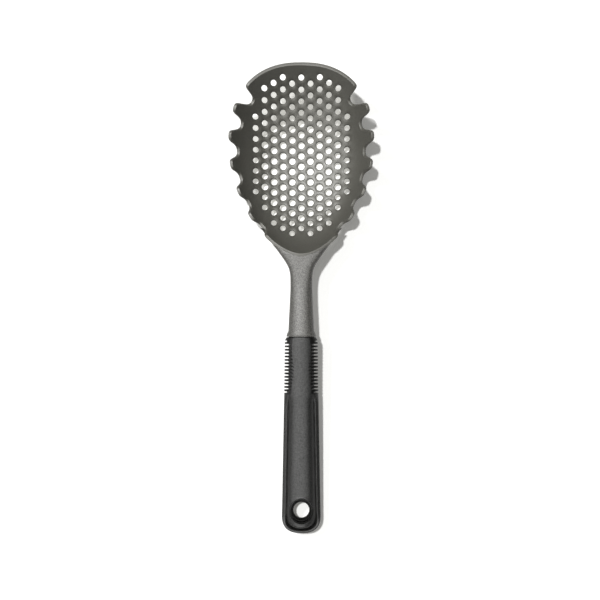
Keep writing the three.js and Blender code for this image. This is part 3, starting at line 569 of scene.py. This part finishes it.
def core_sleeve():
    """The sleeve round the tang: a superellipse outside, a tight rounded pocket inside, both straight along
    the handle's line, closed at each end into one ring of four-sided faces."""
    outside, inside = superellipse(core_turn, CORE_POWER), superellipse(core_turn, POCKET_POWER)
    outer = np.stack([CORE_HALF_WIDTH * outside[0], CORE_HALF_HEIGHT * outside[1]], -1)
    inner = np.stack([POCKET_HALF_WIDTH * inside[0], POCKET_HALF_HEIGHT * inside[1]], -1)
    wall = np.stack([inner, inner, outer, outer])
    y = np.array([GRIP_TOP_Y, POCKET_END_Y, SLEEVE_END_Y, GRIP_TOP_Y])
    x, z = wall[..., 0], handle_line(y)[:, None] + wall[..., 1]
    rings = np.stack([x, np.broadcast_to(y[:, None], x.shape), z], -1)
    loops = np.arange(y.size * CORE_SIDES).reshape(-1, CORE_SIDES)
    return rings.reshape(-1, 3), strips(np.roll(loops, -1, axis=0), loops)


EYE_SIDES = 96
EYE_RADIUS = np.array([6.0, 6.05, 6.2, 7.35, 7.45, 7.53, 7.6])
EYE_HEIGHT = np.array([1.2, 1.6, 2.0, 4.55, 4.65, 4.6, 4.3])


def eye_ring():
    """The eye: a profile of radius and height turned about the hole's axis. The bore is 12 mm wide in the
    middle and opens as a steep cone to both faces of the ring."""
    radius = np.concatenate([EYE_RADIUS, EYE_RADIUS[::-1]])
    height = np.concatenate([EYE_HEIGHT, -EYE_HEIGHT[::-1]])
    turn = np.arange(EYE_SIDES)[:, None] * 2 * np.pi / EYE_SIDES
    rings = np.stack([radius * np.cos(turn), EYE_Y + radius * np.sin(turn),
                      np.broadcast_to(EYE_Z + height, (EYE_SIDES, len(radius)))], -1)
    loops = np.arange(rings[..., 0].size).reshape(rings.shape[:2])
    return rings.reshape(-1, 3), between(np.roll(loops, -1, axis=0), loops).tolist()


def core_end():
    """The solid end of the core, from behind the tang to the eye's ring, narrowing towards it."""
    across, up = superellipse(core_turn, CORE_POWER)
    y = np.array([SLEEVE_END_Y, -146.0, EYE_Y + 9.6, EYE_Y + 7.45])
    size = np.array([1, 1, 0.75, 0.7])[:, None]
    x = CORE_HALF_WIDTH * size * across
    z = handle_line(y)[:, None] + CORE_HALF_HEIGHT * size * up
    return carried(np.stack([x, np.broadcast_to(y[:, None], x.shape), z], -1))


POSTS_Y = (-54.0, -84.0, -114.0)
POST_HALF_WIDTH, POST_HALF_LENGTH, POST_HALF_HEIGHT, POST_POWER = 2.2, 4.2, 3.5, 6


def core_post(y):
    """A post through one of the tang's windows, an upright rounded block."""
    across, along = superellipse(core_turn, POST_POWER)
    z = handle_line(y) + np.linspace(-POST_HALF_HEIGHT, POST_HALF_HEIGHT, 4)[:, None]
    x = np.broadcast_to(POST_HALF_WIDTH * across, (len(z), CORE_SIDES))
    return carried(np.stack([x, np.broadcast_to(y + POST_HALF_LENGTH * along, x.shape),
                             np.broadcast_to(z, x.shape)], -1))


# Hard black polypropylene as moulded: a satin skin with a faint cloudiness in its gloss.
# The clouds are about 4 mm across.
core_plastic = new_material("moulded_polypropylene")
place = node(core_plastic, "ShaderNodeTexCoord").outputs["Object"]
cloud = node(core_plastic, "ShaderNodeTexNoise",
             {"Vector": place, "Scale": 1 / (4 * MILLIMETRE), "Detail": 3.0})
tone = node(core_plastic, "ShaderNodeMix",
            {0: cloud.outputs["Fac"], 6: linear("#070706"), 7: linear("#0c0c0b")}, data_type="RGBA")
gloss = node(core_plastic, "ShaderNodeMapRange",
             {"Value": cloud.outputs["Fac"], "From Min": 0.3, "From Max": 0.7,
              "To Min": 0.5, "To Max": 0.62})
shader = node(core_plastic, "ShaderNodeBsdfPrincipled",
              {"Base Color": tone.outputs[2], "Roughness": gloss.outputs[0], "IOR": 1.49,
               "Specular IOR Level": 0.1})
node(core_plastic, "ShaderNodeOutputMaterial", {"Surface": shader.outputs[0]})

posts = [core_post(y) for y in POSTS_Y]
core_bodies = joined(core_sleeve(), eye_ring(), core_end(), *posts)
core = make_piece("handle_core_and_eye", *core_bodies, [core_plastic])
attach(core, "root")
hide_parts("handle_core")

# Soft grip
# A matt black thermoplastic rubber moulded over the core. A crease runs round it inside its outer edge,
# flexible fins are cut into both sides near the collar, and a dished hole opens down to the hanging eye on
# both faces.

SLOT_COUNT, FIRST_SLOT, SLOT_PITCH = 16, 3.2, 2.54
SLOTS = GRIP_TOP_Y - FIRST_SLOT - SLOT_PITCH * np.arange(SLOT_COUNT)
SHOULDER_Y, FINS_END_Y = -31.5, -71.1
TOP_HALF_WIDTH, FIN_HALF_WIDTH, END_HALF_WIDTH, SHOULDER = 12.45, 12.9, 14.7, 1.15
TOP_HALF_HEIGHT, END_HALF_HEIGHT = 9.1, 10.3


def grip_half_width(y):
    """Half width before the end is rounded: a shoulder behind the collar, then a slow swell."""
    swell = np.interp(y, [GRIP_END_Y, REST_Y, FINS_END_Y, SHOULDER_Y],
                      [END_HALF_WIDTH, END_HALF_WIDTH, FIN_HALF_WIDTH, TOP_HALF_WIDTH])
    return swell - SHOULDER * eased(y, SHOULDER_Y, GRIP_TOP_Y)


def grip_half_height(y):
    """Half height before the end is rounded: a slow swell towards the end."""
    return np.interp(y, [REST_Y, GRIP_TOP_Y], [END_HALF_HEIGHT, TOP_HALF_HEIGHT])


def end_share(y, inset, run):
    """0 along the grip, rising evenly to 1 at an inset from its end over a run."""
    return np.clip((GRIP_END_Y + inset + run - y) / run, 0, 1)


END_RUN, END_POWER, PLAIN_POWER = 14.0, 2.6, 2.1
APART_START, APART_FULL = -69, -80
FLANGE_HEIGHT, FLANGE_SLANT, FLANGE_CREST = 4.3, 0.65, 2.4
FLANGE_END_START, FLANGE_END_FULL = -160, -171
END_FALL, SIDE_FALL_LESS = 0.8, 0.58
FALL_START, SIDE_FALL_LATER, FALL_STOP = 1.5, 0.8, 4.3
FLANGE_EDGE_POWER, FLANGE_EDGE_ROOT = 40, 6
PAD_INSET, PAD_POWER = 3.2, 2.5
PAD_END_INSET, PAD_END_RUN, PAD_END_DROP, PAD_END_POWER = 4.0, 10.0, 2.6, 4
CREASE_SOFTNESS, CREASE_FADE_POWER = 0.2, 12
MOUTH_NARROWING = 0.08
LIP_HEIGHT, LIP_RADIUS, LIP_WIDTH = 0.2, 9.9, 0.5


def grip_face(x, y):
    """Height of the grip's face over its middle line, the greater of two forms with the crease between them
    softened. A pad ends 3.2 mm inside the outline: half height * (1 - |x / half width|^2.5)^(1/2.5),
    rounded at the end as a superellipse of power 4. A thin flange runs round it: it slants down outwards
    along the sides, and inside its crest it falls towards the pad's foot, more so round the end. Near the
    collar they pass into one superellipse, and a low lip runs round the dished hole."""
    width, height = grip_half_width(y), grip_half_height(y)
    share = (np.abs(x / width) ** END_POWER + end_share(y, 0, END_RUN) ** END_POWER) ** (1 / END_POWER)
    share = np.minimum(share, 1)
    plain = height * (1 - share ** PLAIN_POWER) ** (1 / PLAIN_POWER)
    inwards = width * (1 - share)
    side = 1 - eased(y, FLANGE_END_START, FLANGE_END_FULL)
    slant = FLANGE_HEIGHT - FLANGE_SLANT * side * np.clip(FLANGE_CREST - inwards, 0, FLANGE_CREST)
    fall_start = FALL_START + SIDE_FALL_LATER * side
    fall = (END_FALL - SIDE_FALL_LESS * side) * eased(inwards, fall_start, FALL_STOP)
    flange = slant * (1 - share ** FLANGE_EDGE_POWER) ** (1 / FLANGE_EDGE_ROOT) * (1 - fall)
    pad_end = end_share(y, PAD_END_INSET, PAD_END_RUN)
    pad_width = (width - PAD_INSET) * np.maximum(1 - pad_end ** END_POWER, 1e-9) ** (1 / END_POWER)
    pad_share = np.minimum(np.abs(x) / pad_width, 1)
    pad_drop = end_share(y, PAD_END_INSET, PAD_END_DROP)
    pad_drop = (1 - pad_drop ** PAD_END_POWER) ** (1 / PAD_END_POWER)
    pad = height * (1 - pad_share ** PAD_POWER) ** (1 / PAD_POWER) * pad_drop
    soft = CREASE_SOFTNESS * (1 - share ** CREASE_FADE_POWER)
    both = (pad + flange + np.sqrt((pad - flange) ** 2 + soft ** 2) - soft) / 2
    from_lip = np.hypot(x / (1 - MOUTH_NARROWING), y - EYE_Y) - LIP_RADIUS
    lip = LIP_HEIGHT * np.exp(-(from_lip / LIP_WIDTH) ** 2)
    return plain + eased(y, APART_START, APART_FULL) * (both - plain) + lip


SLOT_HALF_WIDTH, SLOT_SLOPE = 0.61, 0.08
FIN_DEPTH, FIRST_FIN_DEPTH, LAST_FIN_DEPTH = 3.0, 1.4, 2.0
ROOT_HEIGHT, ROOT_EXTRA_TOP, ROOT_EXTRA_END = 10.4, 3.5, 2.6
SLOT_BEND, MOST_BEND = 0.11, 4.4
BEND_FULL_Y, BEND_FADE_Y, BEND_END_Y = -38, -71, -85


def grip_rings(y, across):
    """Sections of the grip at each y, out along its upper face and back along its lower one. In a slot the
    sides are cut back to an upright oval, taller towards the first and the last slot and less deep in these
    two. The slots' lines are straight for the first 3 mm and then bend towards the grip's end by 0.11 times
    the way in squared."""
    y = y[:, None]
    width = grip_half_width(y)
    end = (1 - end_share(y, 0, END_RUN) ** END_POWER) ** (1 / END_POWER)
    x = np.concatenate([across, across[-2:0:-1]]) * width * end
    side = np.concatenate([np.ones(len(across)), -np.ones(len(across) - 2)])
    z = side * grip_face(x, np.broadcast_to(y, x.shape))
    gap = np.abs(y - SLOTS)
    place = gap.argmin(axis=1)[:, None]
    in_slot = np.clip((SLOT_HALF_WIDTH - gap.min(axis=1)[:, None]) / SLOT_SLOPE, 0, 1)
    middle = (SLOT_COUNT - 1) / 2
    extra = np.where(place < middle, ROOT_EXTRA_TOP, ROOT_EXTRA_END)
    tall = ROOT_HEIGHT + extra * ((place - middle) / middle) ** 2
    deep = np.select([place == 0, place == SLOT_COUNT - 1], [FIRST_FIN_DEPTH, LAST_FIN_DEPTH], FIN_DEPTH)
    root = (width - deep) * np.sqrt(1 - np.minimum(np.abs(z) / tall, 0.999) ** 2)
    x = x + in_slot * np.sign(x) * (np.minimum(np.abs(x), root) - np.abs(x))
    inwards = np.clip(width - np.abs(x) - FIN_DEPTH, 0, MOST_BEND)
    bend = SLOT_BEND * inwards ** 2 * eased(y, GRIP_TOP_Y, BEND_FULL_Y)
    bend = bend * (1 - eased(y, BEND_FADE_Y, BEND_END_Y))
    ring_z = np.maximum(handle_line(np.maximum(y, REST_Y)) + z, 0)
    return np.stack([x, y - bend, ring_z], -1)


DISH_SIDES = 96
DISH_RADIUS = np.array([11.0, 10.2, 9.8, 9.6, 9.45, 9.3, 9.0, 8.7, 8.4, 8.2, 7.45])[:, None]
DISH_DEPTH = np.array([-1.6, -0.5, -0.08, 0.1, 0.32, 0.65, 1.3, 0, 0, 0, 0])[:, None]
DISH_FOLLOW = np.array([1, 1, 1, 1, 1, 1, 1, 0.5, 0.15, 0, 0])[:, None]
MOUTH_RADIUS, MOUTH_DEPTH, THROAT_HEIGHT = 9.6, 1.3, 2.8


def dish_cutter():
    """What the dished hole leaves open: rings about the hole's axis, a little narrower across the grip at
    the mouths. Near each mouth a ring follows the grip's face at a depth under it; the wall falls steeply
    from there to a narrow groove round the eye's ring, and the bore inside lies within that ring."""
    turn = np.arange(DISH_SIDES) * 2 * np.pi / DISH_SIDES
    x = DISH_RADIUS * (1 - MOUTH_NARROWING * DISH_FOLLOW) * np.cos(turn)
    y = EYE_Y + DISH_RADIUS * np.sin(turn)
    mouth_x = (1 - MOUTH_NARROWING) * MOUTH_RADIUS * np.cos(turn)
    mouth = grip_face(mouth_x, EYE_Y + MOUTH_RADIUS * np.sin(turn))
    over = DISH_FOLLOW * (mouth - MOUTH_DEPTH) + (1 - DISH_FOLLOW) * THROAT_HEIGHT
    over = over + (DISH_FOLLOW == 1) * (MOUTH_DEPTH - DISH_DEPTH)
    line = handle_line(np.maximum(y, REST_Y))
    upper = np.stack([x, y, line + over], -1)
    lower = np.stack([x, y, line - over], -1)[::-1]
    return carried(np.concatenate([upper, lower]))


# Thermoplastic rubber from a lightly textured cavity: near black and matt, with a wide dull sheen and a
# fine speckle. The texture is about 0.15 mm and is drawn at 1.1 mm so that it shows. The sheen's mean also
# stands on the shader's own socket, for uses of the model that leave out the link.
soft_rubber = new_material("matt_thermoplastic_rubber")
place = node(soft_rubber, "ShaderNodeTexCoord").outputs["Object"]
grain = node(soft_rubber, "ShaderNodeTexNoise",
             {"Vector": place, "Scale": 1 / (1.1 * MILLIMETRE), "Detail": 2.0, "Roughness": 0.7})
speck = node(soft_rubber, "ShaderNodeMapRange",
             {"Value": grain.outputs["Fac"], "From Min": 0.3, "From Max": 0.7})
tone = node(soft_rubber, "ShaderNodeMix",
            {0: speck.outputs[0], 6: linear("#0f0f0e"), 7: linear("#181817")}, data_type="RGBA")
gloss = node(soft_rubber, "ShaderNodeMapRange",
             {"Value": grain.outputs["Fac"], "From Min": 0.3, "From Max": 0.7,
              "To Min": 0.42, "To Max": 0.5})
sheen = node(soft_rubber, "ShaderNodeMapRange", {"Value": speck.outputs[0], "To Min": 0.15, "To Max": 0.3})
bump = node(soft_rubber, "ShaderNodeBump",
            {"Height": grain.outputs["Fac"], "Strength": 0.6, "Distance": 0.12 * MILLIMETRE})
shader = node(soft_rubber, "ShaderNodeBsdfPrincipled",
              {"Base Color": tone.outputs[2], "Roughness": gloss.outputs[0], "Normal": bump.outputs[0],
               "IOR": 1.5, "Specular IOR Level": sheen.outputs[0]})
shader.inputs["Specular IOR Level"].default_value = 0.225
node(soft_rubber, "ShaderNodeOutputMaterial", {"Surface": shader.outputs[0]})

# A darker copy of the same rubber for the fins and the dished hole: painted shade, blacker where those
# places lie in shade, with a close dull gloss. The faint clouds in its gloss are about 3 mm across.
shaded_rubber = new_material("shaded_thermoplastic_rubber")
place = node(shaded_rubber, "ShaderNodeTexCoord").outputs["Object"]
cloud = node(shaded_rubber, "ShaderNodeTexNoise",
             {"Vector": place, "Scale": 1 / (3 * MILLIMETRE), "Detail": 3.0})
tone = node(shaded_rubber, "ShaderNodeMix",
            {0: cloud.outputs["Fac"], 6: linear("#070706"), 7: linear("#0c0c0b")}, data_type="RGBA")
gloss = node(shaded_rubber, "ShaderNodeMapRange",
             {"Value": cloud.outputs["Fac"], "From Min": 0.3, "From Max": 0.7,
              "To Min": 0.34, "To Max": 0.42})
shader = node(shaded_rubber, "ShaderNodeBsdfPrincipled",
              {"Base Color": tone.outputs[2], "Roughness": gloss.outputs[0], "IOR": 1.5,
               "Specular IOR Level": 0.12})
node(shaded_rubber, "ShaderNodeOutputMaterial", {"Surface": shader.outputs[0]})

# The grip's sections stand close together at the slots, round the hole and at the end, and wider apart
# elsewhere. The first few draw in to an eased edge behind the collar.
LEAD_RUN, LEAD_SHARE = np.array([0, 0.2, 0.45, 0.8, 1.4]), [0.92, 0.965, 0.99, 1, 1]
SLOT_STEPS = np.array([0.9, 0.62, 0.52, 0.3, 0, -0.3, -0.52, -0.62, -0.9])
PAD_START_STATIONS, PAD_STATIONS = np.arange(-71.5, -84, -0.9), np.arange(-85, -146, -1.8)
HOLE_STATIONS = np.arange(-146.5, -168, -0.45)
END_STEPS, END_STEPS_RUN, END_STEPS_POWER = 46, 8, 1.2
SHADED_BAND, PAST_LAST_SLOT = 5.6, 1.0
slot_y = (SLOTS[:, None] + SLOT_STEPS).ravel()
end_y = GRIP_END_Y + END_STEPS_RUN * (1 - np.cos(np.linspace(0, np.pi / 2, END_STEPS))) ** END_STEPS_POWER
grip_y = np.concatenate([GRIP_TOP_Y - LEAD_RUN, slot_y, PAD_START_STATIONS, PAD_STATIONS,
                         HOLE_STATIONS, end_y])
grip_y = np.sort(grip_y)[::-1]
across_turn = np.pi / 2 * np.linspace(0, 1, 40)
at_crease = np.linspace(0.72, 0.985, 30)
half_across = np.sort(np.concatenate([np.sin(across_turn), at_crease]))
rings = grip_rings(grip_y, np.concatenate([-half_across[:0:-1], half_across]))
lead = np.interp(GRIP_TOP_Y - grip_y, LEAD_RUN, LEAD_SHARE)[:, None]
rings[..., 0] *= lead
rings[..., 2] = handle_line(grip_y)[:, None] * (1 - lead) + rings[..., 2] * lead
grip_points, grip_faces = carried(rings)
face_x, face_y = np.array([grip_points[face].mean(axis=0) for face in grip_faces]).T[:2]
# The fins' outer band takes the darker rubber copy, which is painted shade.
on_fins = (face_y > SLOTS[-1] - PAST_LAST_SLOT) & (np.abs(face_x) > grip_half_width(face_y) - SHADED_BAND)
grip = make_piece("soft_grip_body", grip_points, grip_faces, [soft_rubber, shaded_rubber],
                  finish=on_fins.astype(int))
# The cutter passes its darker rubber copy, which is painted shade, to the dished hole's walls.
cutter = make_piece("dish_cutter", *dish_cutter(), [shaded_rubber])
dish = grip.modifiers.new("dish", "BOOLEAN")
dish.operation = "DIFFERENCE"
dish.solver = "EXACT"
dish.object = cutter
dish.material_mode = "TRANSFER"
bpy.context.view_layer.update()
dished = bpy.data.meshes.new_from_object(grip.evaluated_get(bpy.context.evaluated_depsgraph_get()))
grip.modifiers.clear()
grip.data = dished
bpy.data.objects.remove(cutter)
dished.shade_smooth()
dished.set_sharp_from_angle(angle=SHARP_ANGLE)
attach(grip, "root")
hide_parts("soft_grip")

# Floor, light and camera
# A pale table that keeps the shadow, a hard-edged key light and a weaker one from the upper left, and a dim
# surround with a white band at the horizon and a wide soft box overhead, which the eye and reflections see.
# The camera looks down on the scoop from a little over a metre. Places of light and camera are in metres.


def seen_rays(shading):
    """1 for rays that see a surface itself, from the camera, a reflection or a clear body, and else 0."""
    rays = node(shading, "ShaderNodeLightPath").outputs
    seen = node(shading, "ShaderNodeMath", {0: rays["Is Camera Ray"], 1: rays["Is Glossy Ray"]},
                operation="MAXIMUM")
    seen = node(shading, "ShaderNodeMath", {0: seen.outputs[0], 1: rays["Is Transmission Ray"]},
                operation="MAXIMUM")
    return seen.outputs[0]


# White paper to the eye, which throws back less light than it shows. It carries painted light: it glows a
# little all over, which lightens the shadow on it, and more in an egg-shaped pool under the bowl that lifts
# the bowl's shadow, so that the drain holes show it pale. Its clouds are about 50 mm across.
POOL_MIDDLE, POOL_REACH = (0, 0.104, 0), (0.044, 0.078, 1)
floor_paper = new_material("white_paper")
seen = seen_rays(floor_paper)
place = node(floor_paper, "ShaderNodeTexCoord").outputs["Object"]
cloud = node(floor_paper, "ShaderNodeTexNoise",
             {"Vector": place, "Scale": 1 / (50 * MILLIMETRE), "Detail": 2.0})
tone = node(floor_paper, "ShaderNodeMix",
            {0: cloud.outputs["Fac"], 6: linear("#f6f6f5"), 7: linear("#fafaf9")}, data_type="RGBA")
tone = node(floor_paper, "ShaderNodeMix",
            {0: seen, 6: linear("#a0a09e"), 7: tone.outputs[2]}, data_type="RGBA")
under_bowl = node(floor_paper, "ShaderNodeMapping",
                  {"Vector": place, "Location": POOL_MIDDLE, "Scale": POOL_REACH}, vector_type="TEXTURE")
way = node(floor_paper, "ShaderNodeSeparateXYZ", {"Vector": under_bowl.outputs[0]}).outputs
front = node(floor_paper, "ShaderNodeMath", {0: way["Y"], 1: 0.0}, operation="GREATER_THAN")
power = node(floor_paper, "ShaderNodeMath", {0: front.outputs[0], 1: 2.0, 2: 2.0}, operation="MULTIPLY_ADD")
reaches = [node(floor_paper, "ShaderNodeMath", {0: way[axis]}, operation="ABSOLUTE") for axis in "XY"]
parts = [node(floor_paper, "ShaderNodeMath", {0: reach.outputs[0], 1: power.outputs[0]}, operation="POWER")
         for reach in reaches]
both = node(floor_paper, "ShaderNodeMath", {0: parts[0].outputs[0], 1: parts[1].outputs[0]}, operation="ADD")
# Painted light: an emission that lifts the bowl's shadow under the bowl, and lightens the shadow elsewhere.
pool = node(floor_paper, "ShaderNodeMapRange",
            {"Value": both.outputs[0], "From Min": 0.5, "From Max": 1.0, "To Min": 0.46, "To Max": 0.14},
            interpolation_type="SMOOTHSTEP")
painted_glow = node(floor_paper, "ShaderNodeMath", {0: pool.outputs[0], 1: seen}, operation="MULTIPLY")
paper = node(floor_paper, "ShaderNodeBsdfDiffuse", {"Color": tone.outputs[2]})
painted_glow_shader = node(floor_paper, "ShaderNodeEmission", {"Color": linear("#fefdf4"), "Strength": painted_glow.outputs[0]})
shader = node(floor_paper, "ShaderNodeAddShader", {0: paper.outputs[0], 1: painted_glow_shader.outputs[0]})
node(floor_paper, "ShaderNodeOutputMaterial", {"Surface": shader.outputs[0]})

TABLE_HALF, TABLE_LINES, TABLE_Z = 4000, 9, -0.15
span = np.linspace(-TABLE_HALF, TABLE_HALF, TABLE_LINES)
floor_points = np.stack(np.meshgrid(span, span, [TABLE_Z], indexing="ij"), -1).reshape(-1, 3)
first = np.arange(TABLE_LINES - 1)
corner = (first[:, None] * TABLE_LINES + first).ravel()
floor_faces = np.stack([corner, corner + TABLE_LINES, corner + TABLE_LINES + 1, corner + 1], -1).tolist()
floor = make_piece("table_top", floor_points, floor_faces, [floor_paper])

SOFTBOX_WAY, SOFTBOX_INNER, SOFTBOX_OUTER = (-0.31, 0, 0.95), np.radians(36), np.radians(62)
SOFTBOX_LEVEL, SURROUND_LEVEL = 6.2, 0.22
world = bpy.data.worlds.new("white_surround")
bpy.context.scene.world = world
world.use_nodes = True
world.node_tree.nodes.clear()
way = node(world, "ShaderNodeTexCoord").outputs["Generated"]
up = node(world, "ShaderNodeSeparateXYZ", {"Vector": way}).outputs["Z"]
backdrop = node(world, "ShaderNodeMapRange",
                {"Value": up, "From Min": 0.02, "From Max": 0.1, "To Min": 1.0, "To Max": 0.0},
                interpolation_type="SMOOTHSTEP")
facing = node(world, "ShaderNodeVectorMath", {0: way, 1: SOFTBOX_WAY}, operation="DOT_PRODUCT")
softbox = node(world, "ShaderNodeMapRange",
               {"Value": facing.outputs["Value"], "From Min": np.cos(SOFTBOX_OUTER),
                "From Max": np.cos(SOFTBOX_INNER)}, interpolation_type="SMOOTHSTEP")
shown = node(world, "ShaderNodeMath",
             {0: softbox.outputs[0], 1: SOFTBOX_LEVEL, 2: backdrop.outputs[0]}, operation="MULTIPLY_ADD")
level = node(world, "ShaderNodeMath",
             {0: seen_rays(world), 1: shown.outputs[0], 2: SURROUND_LEVEL}, operation="MULTIPLY_ADD")
surround = node(world, "ShaderNodeBackground", {"Color": linear("#ffffff"), "Strength": level.outputs[0]})
node(world, "ShaderNodeOutputWorld", {"Surface": surround.outputs[0]})

for name, travel, strength, spread in (("key_light", (0.205, -0.19, -1), 2.4, 3),
                                       ("left_light", (0.6, -0.4, -1), 1.0, 6)):
    lamp = bpy.data.objects.new(name, bpy.data.lights.new(name, "SUN"))
    lamp.data.energy = strength
    lamp.data.angle = np.radians(spread)
    lamp.rotation_euler = Vector(travel).to_track_quat("-Z", "Y").to_euler()
    bpy.context.scene.collection.objects.link(lamp)

lens = bpy.data.cameras.new("camera")
lens.sensor_width = 36
lens.lens = 81.67
camera = bpy.data.objects.new("camera", lens)
camera.location = (-0.00098, -0.02327, 1.0412)
camera.rotation_euler = (0.02228, 0, 0)
bpy.context.scene.collection.objects.link(camera)
bpy.context.scene.camera = camera
bpy.context.scene.view_settings.view_transform = "Standard"
